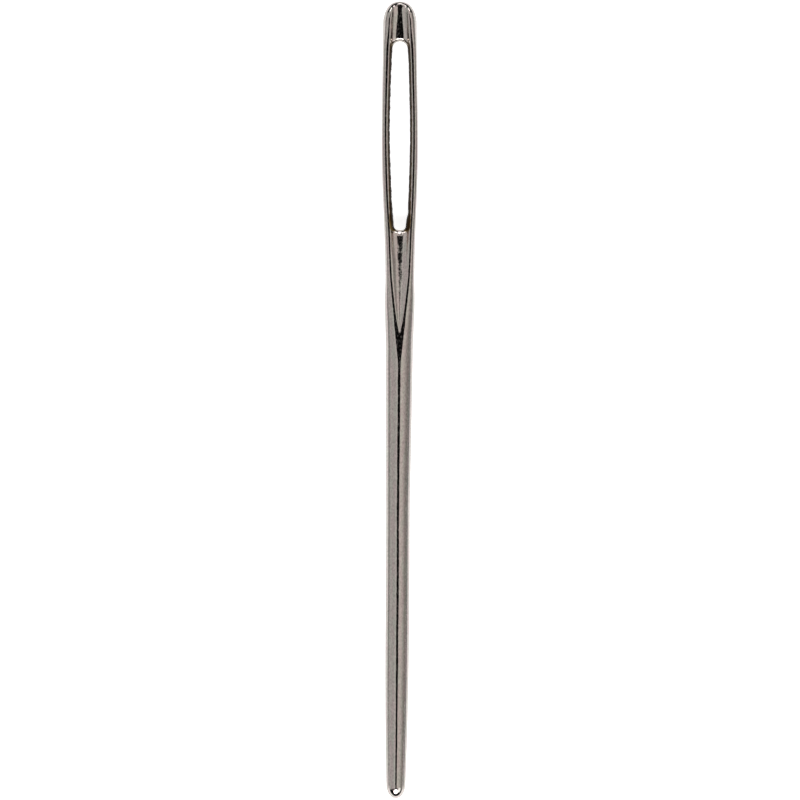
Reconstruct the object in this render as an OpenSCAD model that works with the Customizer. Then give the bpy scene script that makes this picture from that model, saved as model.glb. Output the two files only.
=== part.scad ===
// Blunt steel yarn needle with a long eye, lying flat.
// Its length is along Y with the eye at +Y, the eye opens along Z,
// and the origin is on the table below the middle of the needle.
// The needle is one piece of wire, drawn here as a shank and a head that meet at the neck.

/* [Size] */
// Length from the tip to the top of the head
needle_length = 70; // [66:0.5:76]

/* [Tip] */
// Length of the rounded tip
tip_length = 1.25; // [0.9:0.05:1.6]
// Diameter where the tip starts to round over
tip_d = 1.69; // [1.5:0.01:1.9]

/* [Shank] */
// Distance from the tip to the straight part of the shank
shank_start = 15; // [12:0.5:17]
// Length of the straight part
shank_length = 10; // [6:0.5:11]
// Diameter of the straight part
shank_d = 2.09; // [1.95:0.01:2.2]
// Diameter of the neck, where the shank meets the head
neck_d = 2.39; // [2.28:0.01:2.46]

/* [Head] */
// Length from the neck to the top of the head
head_length = 30.8; // [30:0.1:33]
// Width at the shoulder, where the gutters run out
shoulder_width = 2.64; // [2.58:0.01:2.7]
// Width at the waist, between the shoulder and the eye
waist_width = 2.58; // [2.54:0.01:2.64]
// Width across the eye at the widest place
head_width = 3.24; // [3.1:0.01:3.4]
// Width of the round top
crown_width = 2.98; // [2.9:0.01:3.1]
// Thickness across the lands beside the gutters
head_thick = 1.98; // [1.9:0.01:2.04]
// Width of the flats at the neck, which the needle rests on
flat_width = 0.5; // [0.4:0.02:0.6]

/* [Eye] */
// Length of the opening
eye_length = 16.7; // [15:0.1:17.5]
// Width of the opening at its middle
eye_width = 1.8; // [1.6:0.02:1.86]
// Radius of the opening's long sides, which bow outwards
eye_side_r = 127; // [110:1:200]
// Metal between the opening and the top of the head
crown_wall = 3.5; // [3:0.1:4]
// Width of the bevel around the opening
bevel_width = 0.2; // [0.12:0.01:0.24]

/* [Gutters] */
// Metal left between the two gutters where they are deepest
web_thick = 1.2; // [1.1:0.02:1.3]
// Radius across a gutter
gutter_r = 2; // [1.8:0.05:2.3]
// Radius along a gutter, which is a long shallow scoop
scoop_r = 240; // [220:1:260]

/* [Hidden] */

nickel = [0.66, 0.63, 0.6];

// Number of facets on a full turn of a small round and of a very large one
round_fn = 96;
large_fn = 1440;

// How far a cutter reaches past the surface that it cuts
past = 1;

// Places along the needle, as distances from the tip
shank_end = shank_start + shank_length;
neck_at = needle_length - head_length;
shoulder_at = neck_at + 4.6;
waist_at = neck_at + 6.3;
crown_at = needle_length - crown_width / 2;
eye_mid = needle_length - crown_wall - eye_length / 2;
widest_at = eye_mid - 0.6;

// Slope of the cone from the straight part up to the neck
cone_slope = (neck_d - shank_d) / 2 / (neck_at - shank_end);

// Outline of the head from the neck to the crown: distance from the tip, radius, slope
head_outline = [
    [neck_at, neck_d / 2, cone_slope],
    [shoulder_at, shoulder_width / 2, 0],
    [waist_at, waist_width / 2, 0],
    [widest_at, head_width / 2, 0],
    [crown_at, crown_width / 2, 0]
];

// Steps in each curved stretch of the outline
tip_steps = 10;
taper_steps = 6;
head_steps = [4, 2, 8, 8];
crown_steps = 12;

// Radius on the cubic curve that joins two places of the head's outline, u from 0 to 1
function curve_radius(a, b, u) =
    a[1] * (1 + 2 * u) * pow(1 - u, 2) + b[1] * u * u * (3 - 2 * u)
    + (b[0] - a[0]) * u * (1 - u) * (a[2] * (1 - u) - b[2] * u);

// Height of a gutter's floor above the middle plane
function floor_height(t) = web_thick / 2 + scoop_r - sqrt(pow(scoop_r, 2) - pow(t - eye_mid, 2));

// The needle rests on the flats, which run along the cone up to the neck and are level beyond it
flat_start = neck_at - 4;
flat_lead = 1;
rest_height = sqrt(pow(neck_d / 2, 2) - pow(flat_width / 2, 2));

// Small arc at each end of the eye, which touches both bowed sides
eye_half = eye_length / 2;
eye_end_r =
    (eye_side_r * eye_width - pow(eye_width / 2, 2) - pow(eye_half, 2)) / (2 * (eye_side_r - eye_half));
eye_end_at = eye_half - eye_end_r;
// Centre of a bowed side's arc, beyond the opposite side
eye_side_at = eye_side_r - eye_width / 2;
// Angle at which a bowed side passes into an end arc
eye_join = asin(eye_end_at / (eye_side_r - eye_end_r));

// The bevel rises steeply and meets the gutter's wall beside the middle of the eye
bevel_slope = 1.7;
bevel_top_x = eye_width / 2 + bevel_width;
bevel_top = web_thick / 2 + gutter_r - sqrt(pow(gutter_r, 2) - pow(bevel_top_x, 2));
bevel_foot = bevel_top - bevel_slope * bevel_width;
// How far the bevel's cutter starts inside the opening and ends outside it
bevel_lap = 0.15;
bevel_reach = 2 * bevel_width;
thin = 0.01;

// Outline of the opening, grown outwards by a width: right side, top end, left side, bottom end
eye_side_steps = 8;
eye_end_steps = 12;
function arc_points(x, y, r, a, b, steps) = [
    for (i = [0 : steps - 1])
        let (angle = a + (b - a) * i / steps)
        [x + r * cos(angle), y + r * sin(angle)]
];
function eye_points(grow) =
    let (j = eye_join, side = eye_side_r + grow, end = eye_end_r + grow)
    concat(
        arc_points(-eye_side_at, 0, side, -j, j, eye_side_steps),
        arc_points(0, eye_end_at, end, j, 180 - j, eye_end_steps),
        arc_points(eye_side_at, 0, side, 180 - j, 180 + j, eye_side_steps),
        arc_points(0, -eye_end_at, end, 180 + j, 360 - j, eye_end_steps)
    );

// Half outlines of the round blank, as radius and distance from the tip
tip_points = [
    for (i = [0 : tip_steps])
        let (a = 90 * i / tip_steps)
        [tip_d / 2 * sin(a), tip_length * (1 - cos(a))]
];
taper_points = [
    for (i = [1 : taper_steps])
        let (u = i / taper_steps)
        [
            shank_d / 2 - (shank_d - tip_d) / 2 * pow(1 - u, 2),
            tip_length + (shank_start - tip_length) * u
        ]
];
head_points = [
    for (k = [0 : len(head_steps) - 1])
        let (a = head_outline[k], b = head_outline[k + 1])
        for (i = [k == 0 ? 0 : 1 : head_steps[k]])
            let (u = i / head_steps[k])
            [curve_radius(a, b, u), a[0] + (b[0] - a[0]) * u]
];
crown_points = [
    for (i = [1 : crown_steps])
        let (a = 90 * i / crown_steps)
        [crown_width / 2 * cos(a), crown_at + crown_width / 2 * sin(a)]
];

// Round blank of the shank, standing on its tip
module shank_blank() {
    rotate_extrude($fn = round_fn)
        polygon(concat(
            tip_points, taper_points,
            [[shank_d / 2, shank_end], [neck_d / 2, neck_at], [0, neck_at]]
        ));
}

// Round blank of the head
module head_blank() {
    rotate_extrude($fn = round_fn)
        polygon(concat([[0, neck_at]], head_points, crown_points));
}

// Cutter that takes one side down to the resting flat and then to the flat lands of the head
module land_cutter() {
    translate([-head_width, 0, 0])
        rotate([90, 0, 90])
            linear_extrude(2 * head_width)
                polygon([
                    [head_width, flat_start - flat_lead],
                    [neck_d / 2, flat_start - flat_lead],
                    [rest_height - cone_slope * (neck_at - flat_start), flat_start],
                    [rest_height, neck_at],
                    [rest_height, shoulder_at - past],
                    [head_thick / 2, waist_at + 2 * past],
                    [head_thick / 2, needle_length + past],
                    [head_width, needle_length + past]
                ]);
}

// Rim of the wheel that presses one gutter: a scoop along the head, round across it
module gutter_cutter() {
    reach = asin((needle_length + past - eye_mid) / scoop_r);
    start = asin((eye_mid - neck_at + past) / scoop_r);
    translate([0, web_thick / 2 + scoop_r, eye_mid])
        rotate([0, -90, 0])
            rotate([0, 0, -90 - start])
                rotate_extrude(angle = reach + start, $fn = large_fn)
                    translate([scoop_r - gutter_r, 0])
                        circle(gutter_r, $fn = round_fn);
}

// Stands what is drawn flat, with its length along Y, in the middle of the eye
module at_eye() {
    translate([0, 0, eye_mid]) rotate([90, 0, 0]) children();
}

// The opening, straight through the head
module eye_opening() {
    at_eye() linear_extrude(2 * head_width, center = true) polygon(eye_points(0));
}

// Cutter that opens out from inside the opening and bevels its edge on one face
module eye_bevel() {
    at_eye()
        hull() {
            translate([0, 0, -bevel_foot + bevel_slope * bevel_lap])
                linear_extrude(thin) polygon(eye_points(-bevel_lap));
            translate([0, 0, -bevel_foot - bevel_slope * bevel_reach])
                linear_extrude(thin) polygon(eye_points(bevel_reach));
        }
}

// Lays what stands on its tip down along Y, at the height it rests
module lie() {
    translate([0, -needle_length / 2, rest_height]) rotate([-90, 0, 0]) children();
}

// Cuts both faces alike
module both_faces() {
    for (side = [0, 1]) mirror([0, side, 0]) children();
}

module shank() {
    color(nickel)
        lie()
            difference() {
                shank_blank();
                both_faces() land_cutter();
            }
}

module head() {
    color(nickel)
        lie()
            difference() {
                head_blank();
                both_faces() {
                    land_cutter();
                    gutter_cutter();
                    eye_bevel();
                }
                eye_opening();
            }
}

shank();
head();
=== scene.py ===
import bpy
import math
import numpy as np
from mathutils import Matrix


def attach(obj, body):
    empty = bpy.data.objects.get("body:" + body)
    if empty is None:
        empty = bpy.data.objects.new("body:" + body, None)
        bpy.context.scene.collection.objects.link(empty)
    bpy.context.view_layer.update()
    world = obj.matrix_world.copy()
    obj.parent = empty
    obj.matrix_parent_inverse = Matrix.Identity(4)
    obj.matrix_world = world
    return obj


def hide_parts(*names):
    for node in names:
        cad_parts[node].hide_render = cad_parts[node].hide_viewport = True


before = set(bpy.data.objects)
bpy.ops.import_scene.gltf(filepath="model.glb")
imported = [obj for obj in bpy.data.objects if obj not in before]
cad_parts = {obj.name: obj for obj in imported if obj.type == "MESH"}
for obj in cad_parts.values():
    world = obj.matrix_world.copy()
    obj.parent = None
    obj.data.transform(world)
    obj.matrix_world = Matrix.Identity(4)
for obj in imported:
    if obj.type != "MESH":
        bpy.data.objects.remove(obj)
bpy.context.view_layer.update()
print("frame loaded")

# The needle lies along Y with its eye towards +Y. Sizes are millimetres, and places along it are
# counted from the tip. A pair says where a change starts and where it ends.
needleValues = {
    "length": 70.0,
    "restHeight": math.sqrt(1.195 ** 2 - 0.25 ** 2),  # from the neck's radius and half the flat's width
    # outline
    "tipLength": 1.25, "tipRadius": 0.845,
    "tipPower": 2.0,  # 2 is an ellipse, less is more pointed
    "shankStart": 15.0, "shankEnd": 25.0, "shankRadius": 1.045,
    "neckAt": 39.2, "neckRadius": 1.195,
    "shoulderAt": 43.8, "shoulderRadius": 1.32,
    "waistAt": 45.5, "waistRadius": 1.29,
    "widestAt": 57.55, "widestRadius": 1.62,
    "crownAt": 68.51, "crownRadius": 1.49,
    # eye, with bowed sides, a rounded edge and a bevel in the middle of its lower end
    "eyeMid": 58.15, "eyeHalf": 8.35, "eyeHalfWidth": 0.9, "eyeSideRadius": 127.0,
    "edgeRound": 0.3, "edgePower": 3.0,
    "bevelWidth": 0.33, "bevelSlope": 0.3, "bevelHalf": 0.22, "bevelFade": 0.07,
    "bevelEdge": 0.15,  # how much smaller the rounded edge is at the bevel
    # gutter: its floor, and the radii of its scoop along the head
    "floorHeight": 0.602, "scoopToNeck": 266.0, "scoopToCrown": 229.0,
    # half width from the gutter's middle to its crest
    "crestT": [39.0, 40.2, 41.0, 41.6, 42.2, 43.0, 44.4, 45.8, 47.2, 49.4, 52.5, 55.0, 57.5,
               60.2, 63.5, 65.7, 67.1, 68.51],
    "crestX": [0.0, 0.0, 0.06, 0.2, 0.33, 0.455, 0.632, 0.787, 0.87, 0.957, 1.115, 1.195, 1.245,
               1.24, 1.17, 1.104, 1.0, 0.935],
    # width of the level land outside the crest
    "landT": [38.0, 39.2, 40.2, 41.0, 41.6, 42.2, 43.0, 44.4, 46.0, 50.0],
    "landWidth": [0.0, 0.12, 0.25, 0.265, 0.21, 0.11, 0.055, 0.03, 0.03, 0.02],
    # height of the crest
    "crestHeight": 1.1, "crestSink": (41.0, 51.0),
    "crownRise": 0.04, "crestLift": (63.0, 67.5),
    "crestBlend": 0.03,
    # slope of the gutter at shares of its half width, and where one profile passes into the next
    "riseShare": [0.0, 0.25, 0.56, 0.67, 0.78, 0.88, 1.0],
    "neckSlope": [0.0, 0.25, 3.0, 3.3, 1.2, 0.4, 0.0],
    "scoopSlope": [0.0, 0.223, 0.5, 3.8, 3.8, 0.3, 0.0],
    "eyeSlope": [0.0, 0.09, 0.8, 4.2, 4.2, 0.35, 0.0],
    "crownSlope": [0.0, 0.536, 1.25, 4.6, 4.4, 0.4, 0.0],
    "slopeBlends": [("scoopSlope", 46.5, 50.0), ("eyeSlope", 55.0, 60.0), ("crownSlope", 66.0, 69.8)],
    # crest round the crown, from its centre, changing over degrees round it
    "crownStart": 0.89, "crownStartTurn": (0.0, 25.0),
    "crownEnd": 1.13, "crownEndTurn": (55.0, 90.0),
    # roundness of the sides: a power of 2 is a circle, more is fuller
    "sidePower": 2.0,
    "sidePowerSteps": [(0.5, 40.0, 46.0), (0.5, 48.0, 54.0), (-0.95, 65.5, 68.4)],
    "crownPower": 0.45, "crownPowerTurn": (5.0, 25.0),
    # how far the worn walls of the eye lean inwards, and over what width beside it
    "insetT": [49.7, 50.3, 50.8, 51.4, 52.2, 54.0, 56.0, 58.0, 62.0, 65.0, 67.0],
    "insetLeft": [0.0, 0.11, 0.1, 0.1, 0.07, 0.07, 0.05, 0.02, 0.03, 0.02, 0.0],
    "insetRight": [0.0, 0.14, 0.14, 0.03, 0.05, 0.05, 0.04, 0.02, 0.02, -0.02, 0.0],
    "insetReach": 0.45, "insetFromMiddle": 0.3,
    "insetEnd": 0.12, "insetEndFade": (49.8, 51.5), "insetEndHalf": 0.6,
    # ripples of the walls: size, waves in radians per millimetre, shift
    "ripples": [(0.014, 5.1, 0.0), (0.012, 11.3, 1.0), (0.009, 23.0, 0.0)],
    "rippleIn": (49.8, 51.0), "rippleOut": (65.0, 66.3),
    "rippleRight": 0.8, "rippleDrift": 2.3,
    # painted shade of the walls: its width beside the eye, and its ends as shares of half the eye's
    # length
    "shadeDepth": 1.0,
    "shadeWidth": 0.12, "shadeLower": 0.17, "shadeUpper": 0.06, "shadeRipple": 1.2, "shadeSoft": 0.07,
    "shadeTop": (0.93, 0.985), "shadeBottom": (0.985, 1.02), "shadeFromMiddle": (0.3, 0.5),
    "cornerFade": 0.42, "cornerFrom": (0.86, 0.96), "cornerBeside": (0.1, 0.2),
    # a thin band of painted shade at the eye's ends
    "endShade": 0.3, "endShadeWidth": (0.02, 0.08),
    # what the whole needle departs from straight and round by
    "crownSqueeze": 0.062, "squeezeIn": (68.0, 69.1), "squeezeOut": (69.2, 70.1),
    "bow": 0.09, "bends": [(46.0, 9.0, 0.045), (26.0, 5.0, -0.025)],  # place, reach, size
    # mesh: where the head's grid meets the shank's, and where the shank's rows get closer
    "cutAt": 46.0, "closeFrom": 37.2,
}


# A step from 0 to 1 between two places, with flat ends and no jump in curvature:
# six times the fifth power, less fifteen times the fourth, plus ten times the third.
def easeStep(t, start, end):
    u = np.clip((t - start) / (end - start), 0.0, 1.0)
    return u ** 3 * (u * (6.0 * u - 15.0) + 10.0)


# The lower of two heights with a rounded corner: the minimum, less a sixth of the blend width
# times the cube of how far the two heights are inside that width.
def roundedMin(a, b, width):
    near = np.maximum(width - np.abs(a - b), 0.0) / width
    return np.minimum(a, b) - width / 6.0 * near ** 3


# A cubic curve between two places, given the radius and the slope at each.
def cubicRadius(t, a, b):
    u = (t - a[0]) / (b[0] - a[0])
    return (a[1] * (1 + 2 * u) * (1 - u) ** 2 + b[1] * u * u * (3 - 2 * u)
            + (b[0] - a[0]) * u * (1 - u) * (a[2] * (1 - u) - b[2] * u))


# A smooth curve through stations: each stretch is a cubic whose slope at a station is the mean of
# the slopes on its two sides.
def smoothCurve(t, stations, values):
    stations, values = np.array(stations), np.array(values)
    slopes = np.diff(values) / np.diff(stations)
    at = np.concatenate([[0.0], (slopes[:-1] + slopes[1:]) / 2, [slopes[-1]]])
    k = np.clip(np.searchsorted(stations, t, side="right") - 1, 0, len(stations) - 2)
    gap = stations[k + 1] - stations[k]
    u = np.clip((t - stations[k]) / gap, 0.0, 1.0)
    return (values[k] * (1 + 2 * u) * (1 - u) ** 2 + values[k + 1] * u * u * (3 - 2 * u)
            + gap * u * (1 - u) * (at[k] * (1 - u) - at[k + 1] * u))


# Half the needle's width at a place: an ellipse at the tip, a parabola up to the straight part, a
# cone to the neck, cubic curves through the head's stations and a circle at the crown.
def outlineRadius(t, v):
    coneSlope = (v["neckRadius"] - v["shankRadius"]) / (v["neckAt"] - v["shankEnd"])
    taper = (t - v["tipLength"]) / (v["shankStart"] - v["tipLength"])
    stations = [
        (v["neckAt"], v["neckRadius"], coneSlope),
        (v["shoulderAt"], v["shoulderRadius"], 0.0),
        (v["waistAt"], v["waistRadius"], 0.0),
        (v["widestAt"], v["widestRadius"], 0.0),
        (v["crownAt"], v["crownRadius"], 0.0),
    ]
    fromTip = np.clip(1 - t / v["tipLength"], 0, 1)
    conditions = [t < v["tipLength"], t < v["shankStart"], t < v["shankEnd"], t < v["neckAt"]]
    results = [
        v["tipRadius"] * (1 - fromTip ** v["tipPower"]) ** (1 / v["tipPower"]),
        v["shankRadius"] - (v["shankRadius"] - v["tipRadius"]) * (1 - taper) ** 2,
        np.full_like(t, v["shankRadius"]),
        v["shankRadius"] + coneSlope * (t - v["shankEnd"]),
    ]
    for a, b in zip(stations[:-1], stations[1:]):
        conditions.append(t < b[0])
        results.append(cubicRadius(t, a, b))
    crown = v["crownRadius"] * np.sqrt(np.clip(1 - ((t - v["crownAt"]) / v["crownRadius"]) ** 2, 0, 1))
    return np.select(conditions, results, crown)


# The arcs of the eye's outline: the radius and centre of an end arc that touches both bowed sides,
# the centre of a side arc, and the angle where they meet.
def eyeArcs(v):
    side, half, wide = v["eyeSideRadius"], v["eyeHalf"], v["eyeHalfWidth"]
    endRadius = (2 * side * wide - wide ** 2 - half ** 2) / (2 * (side - half))
    endAt = half - endRadius
    return endRadius, endAt, side - wide, math.asin(endAt / (side - endRadius))


# Distance outwards from the eye's outline, to its end arc or to its side arc.
def eyeDistance(x, t, v):
    endRadius, endAt, sideAt, join = eyeArcs(v)
    along = np.abs(t - v["eyeMid"])
    atEnd = along - endAt > x * math.tan(join)
    return np.where(atEnd, np.hypot(x, along - endAt) - endRadius,
                    np.hypot(x + sideAt, along) - v["eyeSideRadius"])


# Rise of the gutter from 0 at its middle to 1 at its crest: the sum of a slope that is a straight
# line between stations, slow over the bottom, steep at the wall and nearly level at the crest.
def gutterRise(share, stations, slopes):
    stations, slopes = np.array(stations), np.array(slopes)
    gaps = np.diff(stations)
    sums = np.concatenate([[0.0], np.cumsum((slopes[:-1] + slopes[1:]) / 2 * gaps)])
    q = np.clip(share, 0.0, 1.0)
    k = np.clip(np.searchsorted(stations, q, side="right") - 1, 0, len(gaps) - 1)
    d = q - stations[k]
    rise = sums[k] + slopes[k] * d + (slopes[k + 1] - slopes[k]) / gaps[k] * d * d / 2
    return rise / sums[-1]


# Height of the crest beside a gutter: the resting height, less its fall along the head, plus its
# rise to the crown, and no higher than the round wire itself.
def crestLevel(t, width, v):
    level = (v["restHeight"] - (v["restHeight"] - v["crestHeight"]) * easeStep(t, *v["crestSink"])
             + v["crownRise"] * easeStep(t, *v["crestLift"]))
    return roundedMin(np.where(t > v["crownAt"], v["crownRadius"], width), level, v["crestBlend"])


# Height inside a gutter: its floor, a long parabola on each side of the eye's middle, plus the
# rise to the crest, whose profile changes from the neck to the crown.
def gutterLevel(x, t, crestX, crestZ, v):
    scoop = np.where(t < v["eyeMid"], v["scoopToNeck"], v["scoopToCrown"])
    floor = roundedMin(v["floorHeight"] + (t - v["eyeMid"]) ** 2 / (2 * scoop), crestZ, v["crestBlend"])
    share = x / np.maximum(crestX, 1e-6)
    rise = gutterRise(share, v["riseShare"], v["neckSlope"])
    for slopes, begin, end in v["slopeBlends"]:
        rise = rise + easeStep(t, begin, end) * (gutterRise(share, v["riseShare"], v[slopes]) - rise)
    return floor + (crestZ - floor) * rise


# The height at the edge of the eye: first less the bevel, which falls evenly towards the opening,
# then times a rounded corner, one less the power of the share still to go.
def eyeEdge(height, x, t, v):
    away = eyeDistance(x, t, v)
    fade = (v["bevelHalf"] - v["bevelFade"], v["bevelHalf"] + v["bevelFade"])
    atBevel = (t < v["eyeMid"]) * (1 - easeStep(x, *fade))
    bevel = v["bevelSlope"] * np.maximum(v["bevelWidth"] - np.abs(away), 0.0)
    share = np.clip(away / (v["edgeRound"] - v["bevelEdge"] * atBevel), 0, 1)
    edge = (1 - (1 - share) ** v["edgePower"]) ** (1 / v["edgePower"])
    return np.maximum(height - bevel * atBevel, 0.0) * edge


# Half thickness of the needle: the gutter's height, times a rounded side from the crest and its
# land to the outline. The side is one less a power of the share across it, to one over that power,
# which is a circle on the shank. Round the crown it runs outwards from the crown's centre.
def halfHeight(x, t, v):
    width = outlineRadius(t, v)
    crestX = smoothCurve(np.minimum(t, v["crownAt"]), v["crestT"], v["crestX"])
    inside = gutterLevel(x, t, crestX, crestLevel(t, width, v), v)
    past = np.maximum(t - v["crownAt"], 0.0)
    crownward = past > 0
    turn = np.degrees(np.arctan2(past, np.maximum(x, 1e-9)))
    crownCrest = (v["crestX"][-1]
                  + (v["crownStart"] - v["crestX"][-1]) * easeStep(turn, *v["crownStartTurn"])
                  + (v["crownEnd"] - v["crownStart"]) * easeStep(turn, *v["crownEndTurn"]))
    start = np.where(crownward, crownCrest, crestX)
    reach = np.where(crownward, v["crownRadius"], width) - start
    place = np.where(crownward, np.hypot(x, past), x)
    land = smoothCurve(t, v["landT"], v["landWidth"]) * (1 - crownward)
    share = np.clip((place - start - land) / np.maximum(reach - land, 1e-6), 0.0, 1.0)
    power = v["sidePower"] + v["crownPower"] * easeStep(turn, *v["crownPowerTurn"]) * crownward
    for change, begin, end in v["sidePowerSteps"]:
        power = power + change * easeStep(t, begin, end)
    return eyeEdge(inside * (1 - share ** power) ** (1 / power), x, t, v)


# Points spread along a path of straight pieces by its length.
def alongPath(path, count):
    steps = np.hypot(*np.diff(path, axis=0).T)
    length = np.concatenate([[0], np.cumsum(steps)])
    want = np.linspace(0, length[-1], count)
    return np.stack([np.interp(want, length, path[:, k]) for k in (0, 1)], axis=1)


# A quarter of the head: straight lines across from the eye's edge to the outline, as a grid. They
# start on the eye's end arcs and sides, and end on the cut line, the outline and the crown.
def headGrid(v, acrossCut=52, upWaist=40, besideEye=116, roundCrown=72, across=48, fine=400):
    endRadius, endAt, sideAt, join = eyeArcs(v)
    low, high = v["eyeMid"] - endAt, v["eyeMid"] + endAt
    # lower end of the eye, out to the cut line and the waist
    cutWidth = float(outlineRadius(np.array([v["cutAt"]]), v)[0])
    cutX = cutWidth * np.sin(np.linspace(0, np.pi / 2, acrossCut + 1))
    cutLine = np.stack([cutX, np.full_like(cutX, v["cutAt"])], axis=1)
    waistT = np.linspace(v["cutAt"], low, upWaist + 1)[1:]
    waist = np.stack([outlineRadius(waistT, v), waistT], axis=1)
    outerLow = np.concatenate([cutLine, waist])
    angle = np.linspace(-np.pi / 2, -join, len(outerLow))
    innerLow = np.stack([endRadius * np.cos(angle), low + endRadius * np.sin(angle)], axis=1)
    # side of the eye
    sideT = np.linspace(low, high, besideEye + 1)[1:]
    sideAngle = np.linspace(-join, join, besideEye + 1)[1:]
    innerSide = np.stack([v["eyeSideRadius"] * np.cos(sideAngle) - sideAt,
                          v["eyeMid"] + v["eyeSideRadius"] * np.sin(sideAngle)], axis=1)
    outerSide = np.stack([outlineRadius(sideT, v), sideT], axis=1)
    # upper end of the eye, out to the crown
    fineT = np.linspace(high, v["crownAt"], fine)
    fineAngle = np.linspace(0, np.pi / 2, fine)[1:]
    crownPath = np.concatenate([
        np.stack([outlineRadius(fineT, v), fineT], axis=1),
        np.stack([v["crownRadius"] * np.cos(fineAngle),
                  v["crownAt"] + v["crownRadius"] * np.sin(fineAngle)], axis=1)])
    outerTop = alongPath(crownPath, roundCrown + 1)[1:]
    outerTop[:, 0] = outlineRadius(outerTop[:, 1], v)
    outerTop[-1] = (0.0, v["length"])
    angle = np.linspace(join, np.pi / 2, roundCrown + 1)[1:]
    innerTop = np.stack([endRadius * np.cos(angle), high + endRadius * np.sin(angle)], axis=1)
    inner = np.concatenate([innerLow, innerSide, innerTop])
    outer = np.concatenate([outerLow, outerSide, outerTop])
    inner[[0, -1], 0] = 0.0
    part = 0.5 - 0.5 * np.cos(np.pi * np.linspace(0, 1, across + 1))  # closer at both edges
    grid = inner[:, None, :] * (1 - part[None, :, None]) + outer[:, None, :] * part[None, :, None]
    grid[:, -1] = outer
    z = halfHeight(grid[..., 0], grid[..., 1], v)
    z[:, 0] = 0.0
    z[acrossCut:, -1] = 0.0
    return np.dstack([grid, z]), cutX


# A quarter of the shank: rows across the needle from the cut line down to the tip, each the cut
# line's row in the proportion of the outline there.
def shankGrid(v, cutX, along=54, upNeck=96, roundTip=24):
    tipT = v["tipLength"] * (1 - np.cos(np.linspace(0, np.pi / 2, roundTip + 1)))
    t = np.concatenate([tipT, np.linspace(v["tipLength"], v["closeFrom"], along + 1)[1:],
                        np.linspace(v["closeFrom"], v["cutAt"], upNeck + 1)[1:]])
    share = cutX / cutX[-1]
    x = outlineRadius(t, v)[:, None] * share[None, :]
    x[-1] = cutX
    tt = np.repeat(t[:, None], len(share), axis=1)
    z = halfHeight(x, tt, v)
    z[:, -1] = 0.0
    z[0] = 0.0
    x[0] = 0.0
    return np.dstack([x, tt, z])


# Wear of the eye, and its painted shade. A point leans inwards by a curve along the walls plus a
# ripple of sines, less with the square of its distance from the eye, and more on the left near the
# lower end. The painted shade of the walls, from 0 to 1, is a band beside the long walls that widens
# towards their ends, and a thin one at the ends. It fades in the lower left corner.
def eyeWearAndShade(points, v):
    x, t = points[:, 0], points[:, 1]
    near = np.maximum(eyeDistance(np.abs(x), t, v), 0.0)
    lean = (1 - np.clip(near / v["insetReach"], 0, 1)) ** 2
    left = smoothCurve(t, v["insetT"], v["insetLeft"])
    right = smoothCurve(t, v["insetT"], v["insetRight"])
    ripple = sum(size * np.sin(waves * t + shift) for size, waves, shift in v["ripples"])
    ripple = ripple * easeStep(t, *v["rippleIn"]) * (1 - easeStep(t, *v["rippleOut"]))
    amount = np.where(x < 0, left + ripple,
                      -right - v["rippleRight"] * ripple * np.cos(v["rippleDrift"] * t))
    amount = np.where((t > v["insetT"][0]) & (t < v["insetT"][-1]), amount, 0.0)
    across = amount * lean * np.clip(np.abs(x) / v["insetFromMiddle"], 0, 1)
    atEnd = 1 - np.clip(np.abs(x) / v["insetEndHalf"], 0, 1) ** 2
    along = v["insetEnd"] * (1 - easeStep(t, *v["insetEndFade"])) * atEnd * lean

    side = (t - v["eyeMid"]) / v["eyeHalf"]
    width = (v["shadeWidth"] + v["shadeLower"] * np.clip(-side, 0, 1) ** 4
             + v["shadeUpper"] * np.clip(side, 0, 1) ** 4 + v["shadeRipple"] * ripple)
    corner = easeStep(-side, *v["cornerFrom"]) * (x < 0) * easeStep(near, *v["cornerBeside"])
    # painted shade: a band beside the long walls, then a thin band at the ends
    walls = ((1 - easeStep(near, width, width + v["shadeSoft"])) * (1 - easeStep(side, *v["shadeTop"]))
             * (1 - easeStep(-side, *v["shadeBottom"])) * easeStep(np.abs(x), *v["shadeFromMiddle"])
             * (1 - v["cornerFade"] * corner))
    ends = v["endShade"] * (1 - easeStep(near, *v["endShadeWidth"]))
    return across, along, np.maximum(v["shadeDepth"] * walls, ends)


# Quarter grids mirrored in X and Z, as points and four-sided faces that point outwards. Points
# that are equal to a millionth of a millimetre become one.
def mirroredGrids(grids):
    points, quads, offset = [], [], 0
    for grid in grids:
        rows, columns = grid.shape[:2]
        index = np.arange(rows * columns).reshape(rows, columns)
        faces = np.stack([index[:-1, :-1], index[1:, :-1], index[1:, 1:], index[:-1, 1:]], axis=2)
        faces = faces.reshape(-1, 4)
        flat = grid.reshape(-1, 3)
        normal = np.cross(flat[faces[:, 2]] - flat[faces[:, 0]], flat[faces[:, 3]] - flat[faces[:, 1]])
        turned = normal[:, 2] < 0
        faces[turned] = faces[turned][:, ::-1]
        for sx in (1, -1):
            for sz in (1, -1):
                points.append(flat * (sx, 1, sz))
                quads.append((faces if sx * sz > 0 else faces[:, ::-1]) + offset)
                offset += len(flat)
    points = np.concatenate(points)
    _, first, same = np.unique(np.round(points * 1e6).astype(np.int64), axis=0,
                               return_index=True, return_inverse=True)
    return points[first], same.ravel()[np.concatenate(quads)]


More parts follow.
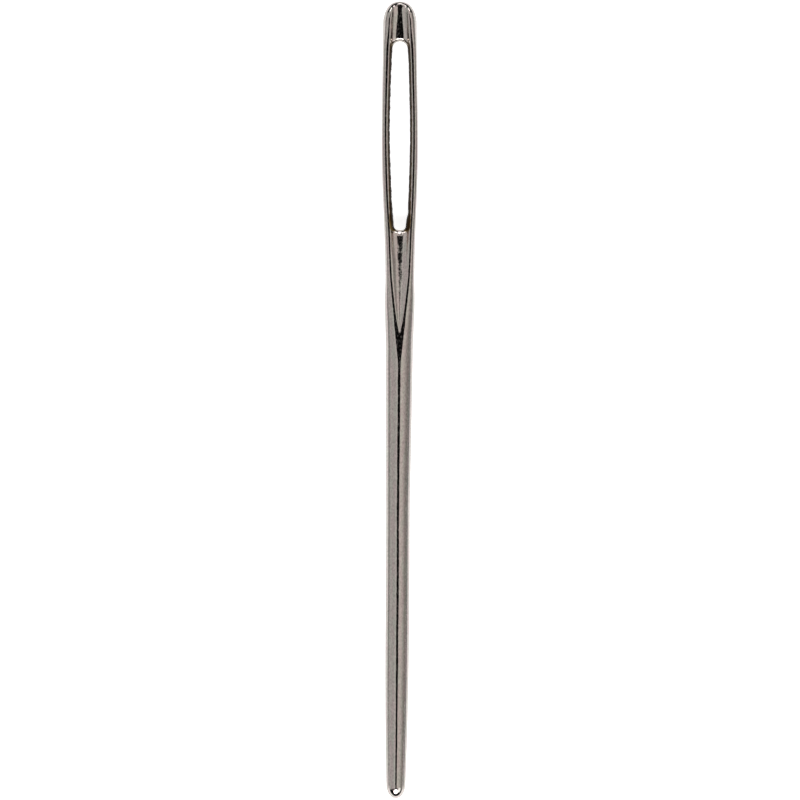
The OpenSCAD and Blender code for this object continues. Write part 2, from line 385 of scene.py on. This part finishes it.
# From the even shape to the real one, in metres above the table: the crown is squeezed, the eye is
# worn, and the axis bows by a parabola with bends that are bell curves. Gives the painted wall shade as
# well.
def finishedPoints(points, v):
    x, t, z = points.T
    half = v["length"] / 2
    bow = v["bow"] * (0.5 - ((t - half) / half) ** 2)
    for place, reach, size in v["bends"]:
        bow = bow + size * np.exp(-((t - place) / reach) ** 2)
    squeeze = v["crownSqueeze"] * easeStep(t, *v["squeezeIn"]) * (1 - easeStep(t, *v["squeezeOut"]))
    across, along, wallShade = eyeWearAndShade(points, v)
    moved = [x * (1 - squeeze) + across + bow, t + along - half, z + v["restHeight"]]
    return np.stack(moved, axis=1) / 1000, wallShade


# Adds an object with its data to the scene.
def addObject(name, data):
    thing = bpy.data.objects.new(name, data)
    bpy.context.scene.collection.objects.link(thing)
    return thing


# The closed mesh of the grids: a four-sided face that has lost a corner becomes a triangle, and
# one that has lost two is left out.
def addNeedle(name, grids, v):
    points, quads = mirroredGrids(grids)
    places, wallShade = finishedPoints(points, v)
    lost = quads == np.roll(quads, 1, axis=1)
    count = lost.sum(axis=1)
    threes = quads[count == 1][~lost[count == 1]].reshape(-1, 3)
    mesh = bpy.data.meshes.new(name)
    mesh.from_pydata(places.tolist(), [], quads[count == 0].tolist() + threes.tolist())
    mesh.update()
    mesh.polygons.foreach_set("use_smooth", np.ones(len(mesh.polygons), dtype=bool))
    # mask of the painted shade on the eye's walls
    mask = mesh.attributes.new("eyeWallShade", "FLOAT", "POINT")
    mask.data.foreach_set("value", wallShade.astype(np.float32))
    return addObject(name, mesh)


headPart, cutX = headGrid(needleValues)
needle = addNeedle("needleBody", [headPart, shankGrid(needleValues, cutX)], needleValues)
print("needle mesh:", len(needle.data.vertices), "points,", len(needle.data.polygons), "faces")

# Nickel plate. A range is the part of a pattern, from 0 to 1, over which its effect changes.
nickelValues = {
    "warm": (0.685, 0.592, 0.572, 1.0), "cool": (0.645, 0.627, 0.572, 1.0), "tintRange": (0.38, 0.62),
    # the two colours on this line are painted shade on the eye's walls, gold where faint and dark brown
    # where full
    "shadeGold": (0.2, 0.135, 0.05, 1.0), "wallShade": (0.03, 0.014, 0.004, 1.0),
    "pit": (0.42, 0.37, 0.33, 1.0), "pitScale": 700.0, "pitRange": (0.02, 0.05),
    # patterns of the drawn wire: scale per metre, stretch along the wire, detail, relief in metres
    "patterns": {
        "Waves": (1500.0, 2.2, 2.0, 9.0e-6), "Streaks": (9000.0, 14.0, 2.0, 1.0e-6),
        "Grain": (8000.0, 1.6, 3.0, 1.2e-6), "Tints": (3500.0, 7.0, 2.0, 0.0)},
    "grainDepth": 0.15, "grainRange": (0.3, 0.7),
    "haze": 0.11, "hazeRange": (0.55, 0.72),
    "rough": (0.02, 0.08), "shadeRough": 0.45, "specular": 0.1,
}


# Adds a node of a kind at a place in a tree.
def addNode(tree, kind, x, y):
    node = tree.nodes.new(kind)
    node.location = (x, y)
    return node


# Links one socket to another, or sets it to a plain value.
def feed(tree, value, socket):
    if isinstance(value, bpy.types.NodeSocket):
        tree.links.new(value, socket)
    else:
        socket.default_value = value


# Adds a Math node: the kind of sum, the values that it takes and its place.
def addMath(tree, kind, values, x, y, clamp=False):
    node = addNode(tree, "ShaderNodeMath", x, y)
    node.operation = kind
    node.use_clamp = clamp
    for value, socket in zip(values, node.inputs):
        feed(tree, value, socket)
    return node.outputs[0]


# Adds a Map Range node: a value, the pair that it comes from and the pair that it goes to.
def addRange(tree, value, source, target, x, y, smooth=False):
    node = addNode(tree, "ShaderNodeMapRange", x, y)
    if smooth:
        node.interpolation_type = "SMOOTHSTEP"
    feed(tree, value, node.inputs["Value"])
    for name, number in zip(("From Min", "From Max", "To Min", "To Max"), (*source, *target)):
        feed(tree, number, node.inputs[name])
    return node.outputs[0]


# Two colours mixed by a factor, or multiplied.
def addMix(tree, factor, a, b, x, y, kind="MIX"):
    node = addNode(tree, "ShaderNodeMix", x, y)
    node.data_type = "RGBA"
    node.blend_type = kind
    feed(tree, factor, node.inputs["Factor"])
    feed(tree, a, node.inputs[6])
    feed(tree, b, node.inputs[7])
    return node.outputs[2]


# Noise at a scale, stretched along Y, from 0 to 1.
def addNoise(tree, vector, scale, stretch, detail, x, y):
    place = addNode(tree, "ShaderNodeVectorMath", x, y)
    place.operation = "MULTIPLY"
    tree.links.new(vector, place.inputs[0])
    place.inputs[1].default_value = (1.0, 1.0 / stretch, 1.0)
    noise = addNode(tree, "ShaderNodeTexNoise", x + 200, y)
    feed(tree, scale, noise.inputs["Scale"])
    noise.inputs["Detail"].default_value = detail
    tree.links.new(place.outputs[0], noise.inputs["Vector"])
    return noise.outputs["Fac"]


# Drawn wire: slow waves, lengthwise streaks, fine grain and tints, each from 0 to 1, and sparse
# pits, which are 1 in the middle of a cell and 0 outside the pit.
def drawnWireGroup(v):
    group = bpy.data.node_groups.new("drawnWire", "ShaderNodeTree")
    group.interface.new_socket("Vector", in_out="INPUT", socket_type="NodeSocketVector")
    for name, (scale, stretch, detail, relief) in v["patterns"].items():
        socket = group.interface.new_socket(name + " Scale", in_out="INPUT",
                                            socket_type="NodeSocketFloat")
        socket.default_value = scale
        group.interface.new_socket(name, in_out="OUTPUT", socket_type="NodeSocketFloat")
    group.interface.new_socket("Pits", in_out="OUTPUT", socket_type="NodeSocketFloat")
    start = addNode(group, "NodeGroupInput", -1000, 0)
    end = addNode(group, "NodeGroupOutput", 200, 0)
    for row, (name, (scale, stretch, detail, relief)) in enumerate(v["patterns"].items()):
        noise = addNoise(group, start.outputs["Vector"], start.outputs[name + " Scale"],
                         stretch, detail, -700, 300 - 300 * row)
        group.links.new(noise, end.inputs[name])
    spots = addNode(group, "ShaderNodeTexVoronoi", -500, -900)
    spots.inputs["Scale"].default_value = v["pitScale"]
    group.links.new(start.outputs["Vector"], spots.inputs["Vector"])
    pits = addRange(group, spots.outputs["Distance"], v["pitRange"], (1.0, 0.0), -200, -900)
    group.links.new(pits, end.inputs["Pits"])
    return group


# The material of the needle. Its colour mixes two close tints of nickel, times the grain, with pits,
# then painted shade on the eye's walls, gold for half of it and brown for the rest. The painted shade
# isn't metallic, and a haze takes a little off the metal where the grain is high. Waves, streaks and
# grain are relief.
def nickelMaterial(v):
    material = bpy.data.materials.new("nickelPlate")
    material.use_nodes = True
    tree = material.node_tree
    shader = tree.nodes["Principled BSDF"]
    coordinates = addNode(tree, "ShaderNodeTexCoord", -1400, 0)
    wire = addNode(tree, "ShaderNodeGroup", -1100, 0)
    wire.node_tree = drawnWireGroup(v)
    for name, (scale, stretch, detail, relief) in v["patterns"].items():
        wire.inputs[name + " Scale"].default_value = scale
    tree.links.new(coordinates.outputs["Object"], wire.inputs["Vector"])
    attribute = addNode(tree, "ShaderNodeAttribute", -1100, 400)
    attribute.attribute_name = "eyeWallShade"
    wall = attribute.outputs["Fac"]

    tint = addRange(tree, wire.outputs["Tints"], v["tintRange"], (0.0, 1.0), -800, 300)
    depth = (1 - v["grainDepth"], 1 + v["grainDepth"])
    grain = addRange(tree, wire.outputs["Grain"], v["grainRange"], depth, -800, 0)
    # painted shade on the eye's walls: gold up to half its mask, dark brown above that
    shadeGold = addMath(tree, "MULTIPLY", (wall, 2.0), -650, 700, clamp=True)
    brown = addMath(tree, "MULTIPLY_ADD", (wall, 2.0, -1.0), -650, 550, clamp=True)
    color = addMix(tree, tint, v["warm"], v["cool"], -600, 300)
    color = addMix(tree, 1.0, color, grain, -500, 300, "MULTIPLY")
    color = addMix(tree, wire.outputs["Pits"], color, v["pit"], -450, 300)
    color = addMix(tree, shadeGold, color, v["shadeGold"], -400, 300)
    color = addMix(tree, brown, color, v["wallShade"], -300, 300)
    tree.links.new(color, shader.inputs["Base Color"])

    haze = addRange(tree, wire.outputs["Grain"], v["hazeRange"], (1.0, 1 - v["haze"]), -800, 600)
    bare = addMath(tree, "SUBTRACT", (1.0, wall), -500, 600)
    metal = addMath(tree, "MULTIPLY", (bare, haze), -300, 600)
    tree.links.new(metal, shader.inputs["Metallic"])
    shader.inputs["Specular IOR Level"].default_value = v["specular"]
    rough = addRange(tree, wire.outputs["Streaks"], (0.0, 1.0), v["rough"], -600, 0)
    rough = addMath(tree, "MULTIPLY_ADD", (wall, v["shadeRough"], rough), -350, 0)
    tree.links.new(rough, shader.inputs["Roughness"])

    normal = None
    for x, name in ((-600, "Waves"), (-350, "Streaks"), (-150, "Grain")):
        bump = addNode(tree, "ShaderNodeBump", x, -300)
        bump.inputs["Distance"].default_value = v["patterns"][name][3]
        tree.links.new(wire.outputs[name], bump.inputs["Height"])
        if normal is not None:
            tree.links.new(normal, bump.inputs["Normal"])
        normal = bump.outputs[0]
    tree.links.new(normal, shader.inputs["Normal"])
    return material


needle.data.materials.append(nickelMaterial(nickelValues))
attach(needle, "root")
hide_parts("shank", "head")
print("needle material done")

# Floor, in metres. Reflections see a bright card between these edges, soft by so much, and from
# the tip onwards over the whole floor. The floor is dimmer outside it and beyond the crown.
floorValues = {
    "half": 3.0, "color": (0.9, 0.9, 0.9, 1.0), "glow": 0.75,
    "left": -0.0064, "right": 0.005, "tipEnd": -0.2, "crownEnd": 0.0395, "tipFrom": -0.0362,
    "soft": 0.0012,
    "farLevel": 0.28, "crownLevel": 0.03, "leftLevel": 0.9, "rightLevel": 0.98,
    "tipBright": 1.27, "tipBrightOver": (-0.0335, -0.0355),
}


# A flat square with a pale material that also glows, so that it stays white. Reflections see the
# card instead: the product of its four soft edges, or the floor at the tip if that is more.
def addFloor(v):
    mesh = bpy.data.meshes.new("floor")
    h = v["half"]
    mesh.from_pydata([(-h, -h, 0), (h, -h, 0), (h, h, 0), (-h, h, 0)], [], [(0, 1, 2, 3)])
    material = bpy.data.materials.new("floorWhite")
    material.use_nodes = True
    tree = material.node_tree
    shader = tree.nodes["Principled BSDF"]
    shader.inputs["Base Color"].default_value = v["color"]
    shader.inputs["Roughness"].default_value = 1.0
    shader.inputs["Specular IOR Level"].default_value = 0.0
    shader.inputs["Emission Color"].default_value = (1, 1, 1, 1)
    shader.inputs["Emission Strength"].default_value = v["glow"]
    coordinates = addNode(tree, "ShaderNodeTexCoord", -1200, -300)
    split = addNode(tree, "ShaderNodeSeparateXYZ", -1000, -300)
    tree.links.new(coordinates.outputs["Object"], split.inputs[0])

    # 1 on one side of a line across the floor and 0 on the other
    def side(axis, at, way, y):
        edge = (at - way * v["soft"], at + way * v["soft"])
        return addRange(tree, split.outputs[axis], edge, (0.0, 1.0), -800, y, smooth=True)

    card = side("X", v["left"], 1, -200)
    for row, (axis, at, way) in enumerate((("X", v["right"], -1), ("Y", v["tipEnd"], 1),
                                           ("Y", v["crownEnd"], -1))):
        edge = side(axis, at, way, -400 - 200 * row)
        card = addMath(tree, "MULTIPLY", (card, edge), -600 + 100 * row, -300)
    card = addMath(tree, "MAXIMUM", (card, side("Y", v["tipFrom"], -1, -1000)), -300, -700)
    levels = (v["leftLevel"], v["rightLevel"])
    near = addRange(tree, split.outputs["X"], (-v["soft"], v["soft"]), levels, -600, -1200)
    tip = addRange(tree, split.outputs["Y"], v["tipBrightOver"], (1.0, v["tipBright"]), -600, -1600)
    near = addMath(tree, "MULTIPLY", (near, tip), -400, -1200)
    far = addRange(tree, side("Y", v["crownEnd"], 1, -1400), (0.0, 1.0),
                   (v["farLevel"], v["crownLevel"]), -600, -1400)
    glow = addNode(tree, "ShaderNodeEmission", 0, -500)
    tree.links.new(addRange(tree, card, (0.0, 1.0), (far, near), -200, -500), glow.inputs["Strength"])
    path = addNode(tree, "ShaderNodeLightPath", 0, 400)
    mix = addNode(tree, "ShaderNodeMixShader", 400, 0)
    tree.links.new(path.outputs["Is Glossy Ray"], mix.inputs[0])
    tree.links.new(shader.outputs[0], mix.inputs[1])
    tree.links.new(glow.outputs[0], mix.inputs[2])
    tree.links.new(mix.outputs[0], tree.nodes["Material Output"].inputs[0])
    mesh.materials.append(material)
    return addObject("floor", mesh)


addFloor(floorValues)
print("floor done")

# Light: the brightness of the surroundings by their angle from straight up towards +X, in degrees.
# Straight up is a dark patch, as wide as stated for each angle from straight up towards +Y.
# Both ends are dark past a share of the way towards +Y or -Y. A lamp has its direction, half its
# size across and along, and its level.
skyValues = {
    "stops": [
        (-180, 0.30), (-100, 0.30), (-88, 0.37), (-75, 0.50), (-60, 0.47), (-33, 0.45),
        (-23, 0.54), (-12, 0.56), (14, 0.62), (24, 0.64), (44, 0.55), (54, 0.45),
        (65, 0.33), (76, 0.275), (90, 0.256), (180, 0.256)],
    "leftTint": (1.0, 0.985, 0.97), "rightTint": (1.0, 0.955, 0.91),
    "patch": [
        (-30, 8.39), (-14, 8.39), (-9, 8.884), (-6, 9.378), (-3, 11.352), (0, 11.536), (4, 11.536),
        (6.15, 9.806), (6.85, 1.25), (30, 0.961)],
    "patchUnit": 20.0,  # degrees for a ramp's full level
    "patchSoft": 1.4, "patchLevel": 0.004,
    "crownwardEnd": (0.32, 0.42), "crownwardLevel": 0.03,
    "tipwardEnd": (-0.36, -0.5), "tipwardLevel": 0.005,
    "lamps": [
        ((0.0, -0.722, 0.691), 0.44, 0.26, 6.0), ((0.62, -0.55, 0.56), 0.3, 0.26, 1.35),
        ((0.03, 0.72, 0.69), 0.2, 0.3, 2.2), ((0.42, 0.58, 0.7), 0.18, 0.23, 3.0),
        ((-0.47, 0.545, 0.7), 0.18, 0.23, 3.0)],
    "lampSoft": 0.12,
}


# A colour ramp over a value: stops of value and level, with one tint below zero and one above.
def addRamp(tree, value, stops, tints, x, y):
    low, high = stops[0][0], stops[-1][0]
    node = addNode(tree, "ShaderNodeValToRGB", x + 200, y)
    elements = node.color_ramp.elements
    elements[0].position = 0.0
    elements[1].position = 1.0
    for at, level in stops[1:-1]:
        elements.new((at - low) / (high - low))
    for element, (at, level) in zip(sorted(elements, key=lambda e: e.position), stops):
        element.color = (*(level * c for c in tints[at >= 0]), 1)
    tree.links.new(addRange(tree, value, (low, high), (0.0, 1.0), x, y), node.inputs[0])
    return node.outputs[0]


# Two levels or colours mixed by a factor.
def addBlend(tree, factor, a, b, x, y):
    plain = [(c, c, c, 1.0) if isinstance(c, float) else c for c in (a, b)]
    return addMix(tree, factor, *plain, x, y)


# A soft round lamp over the levels so far: 1 within its size, by the length of the way from its
# direction to the point seen, over half its size.
def addLamp(tree, direction, level, lamp, soft, x, y):
    towards, halfAcross, halfAlong, power = lamp
    length = math.sqrt(sum(c * c for c in towards))
    offset = addNode(tree, "ShaderNodeVectorMath", -200, y)
    offset.operation = "SUBTRACT"
    offset.inputs[1].default_value = [c / length for c in towards]
    tree.links.new(direction, offset.inputs[0])
    scaled = addNode(tree, "ShaderNodeVectorMath", 0, y)
    scaled.operation = "MULTIPLY"
    scaled.inputs[1].default_value = (1 / halfAcross, 1 / halfAlong, 1 / halfAlong)
    tree.links.new(offset.outputs[0], scaled.inputs[0])
    size = addNode(tree, "ShaderNodeVectorMath", 150, y)
    size.operation = "LENGTH"
    tree.links.new(scaled.outputs[0], size.inputs[0])
    lit = addRange(tree, size.outputs["Value"], (1 + soft, 1 - soft), (0.0, 1.0), 300, y, smooth=True)
    return addBlend(tree, lit, level, power, x, 100)


# The surroundings: the ramp over the angle across, dark towards both ends of the needle, with the
# dark patch straight above, where a camera would stand, and the lamps. The camera sees white.
def setSky(v):
    world = bpy.data.worlds.new("studio")
    bpy.context.scene.world = world
    world.use_nodes = True
    tree = world.node_tree
    tree.nodes.clear()
    out = addNode(tree, "ShaderNodeOutputWorld", 1800, 0)
    background = addNode(tree, "ShaderNodeBackground", 1600, 0)
    coordinates = addNode(tree, "ShaderNodeTexCoord", -1000, 0)
    direction = coordinates.outputs["Generated"]
    split = addNode(tree, "ShaderNodeSeparateXYZ", -800, 0)
    tree.links.new(direction, split.inputs[0])

    # angle from straight up towards an axis, in degrees
    def angle(axis, y):
        turn = addMath(tree, "ARCTAN2", (split.outputs[axis], split.outputs["Z"]), -600, y)
        return addMath(tree, "DEGREES", (turn,), -400, y)

    across = angle("X", 200)
    level = addRamp(tree, across, v["stops"], (v["leftTint"], v["rightTint"]), -200, 300)
    patch = [(at, wide / v["patchUnit"]) for at, wide in v["patch"]]
    wide = addRamp(tree, angle("Y", -200), patch, ((1, 1, 1), (1, 1, 1)), -200, -100)
    wide = addMath(tree, "MULTIPLY", (wide, v["patchUnit"]), 300, -100)
    away = addMath(tree, "ABSOLUTE", (across,), 0, 50)
    over = addMath(tree, "SUBTRACT", (away, wide), 500, -50)
    half = v["patchSoft"] / 2
    clear = addRange(tree, over, (-half, half), (0.0, 1.0), 700, -50)

    for ends, dark, x, y in ((v["crownwardEnd"], v["crownwardLevel"], 700, -400),
                             (v["tipwardEnd"], v["tipwardLevel"], 900, -700)):
        end = addRange(tree, split.outputs["Y"], ends, (0.0, 1.0), 300, y, smooth=True)
        level = addBlend(tree, end, level, dark, x, 200)
    level = addBlend(tree, clear, v["patchLevel"], level, 1100, 100)
    for index, lamp in enumerate(v["lamps"]):
        level = addLamp(tree, direction, level, lamp, v["lampSoft"], 1200 + 100 * index,
                        -1000 - 300 * index)
    seen = addNode(tree, "ShaderNodeLightPath", 1100, 400)
    level = addBlend(tree, seen.outputs["Is Camera Ray"], level, 1.0, 1450, 0)
    tree.links.new(level, background.inputs["Color"])
    tree.links.new(background.outputs[0], out.inputs[0])


setSky(skyValues)
print("light done")

# Camera: straight above, a long lens in millimetres, turned a third of a degree. Its frame is in
# metres, and it looks at a place along the needle in millimetres, a little to the side.
cameraValues = {
    "lens": 229.0, "sensor": 36.0, "frameWidth": 0.07027,
    "turn": 0.298, "aimT": 35.0, "aside": 0.000145, "clipStart": 0.01,
}


# The camera stands where the frame's width fills its sensor at the needle's middle height.
def addCamera(v, needleV):
    data = bpy.data.cameras.new("camera")
    data.lens = v["lens"]
    data.sensor_width = v["sensor"]
    data.clip_start = v["clipStart"]
    camera = addObject("camera", data)
    turn = math.radians(v["turn"])
    distance = v["frameWidth"] * v["lens"] / v["sensor"]
    camera.location = (v["aside"] * math.cos(turn),
                       (v["aimT"] - needleV["length"] / 2) / 1000 + v["aside"] * math.sin(turn),
                       needleV["restHeight"] / 1000 + distance)
    camera.rotation_euler = (0, 0, turn)
    bpy.context.scene.camera = camera


addCamera(cameraValues, needleValues)
bpy.context.scene.view_settings.view_transform = "Standard"
print("stage done")
